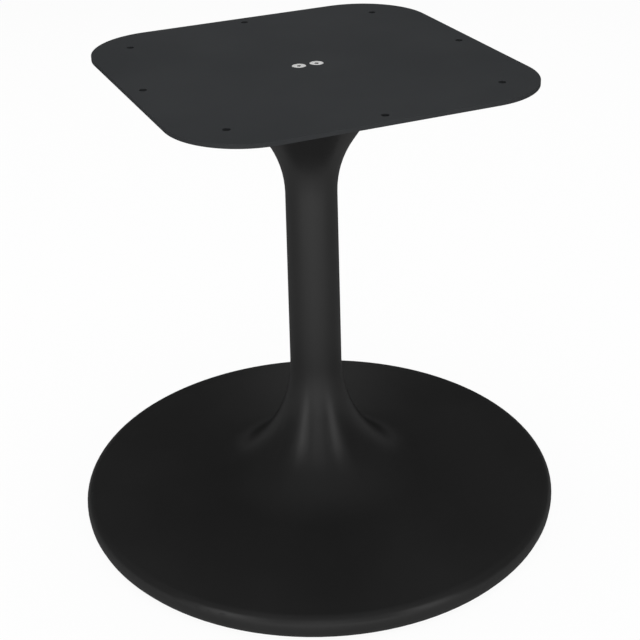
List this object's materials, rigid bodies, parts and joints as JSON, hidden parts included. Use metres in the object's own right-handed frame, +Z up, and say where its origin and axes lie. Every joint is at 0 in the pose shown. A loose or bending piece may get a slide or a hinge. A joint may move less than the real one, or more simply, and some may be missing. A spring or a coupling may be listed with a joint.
{
  "type": "trumpet table base",
  "caption": "Pedestal table base: a slim black column that flares like a trumpet into a wide round foot and into the mouth under a flat square top plate with rounded corners.",
  "frame": {"origin": "on the floor, on the axis of the pedestal", "axes": "+Z up along the pedestal's axis; X and Y along the edges of the square top plate, with the two plate screws in a row along X"},
  "size_m": [0.7499, 0.75, 0.72],
  "materials": {
    "pedestal_coating": "satin black powder coat",
    "plate_coating": "fine textured black powder coat",
    "screw_steel": "bright zinc plate",
    "stud_steel": "zinc plate",
    "pad_plastic": "moulded matt nylon"
  },
  "bodies": {
    "root": {"trumpet_pedestal": "pedestal_coating", "top_plate": "plate_coating", "plate_screws": "screw_steel", "glide_studs": "stud_steel", "glide_pads": "pad_plastic"}
  },
  "joints": []
}
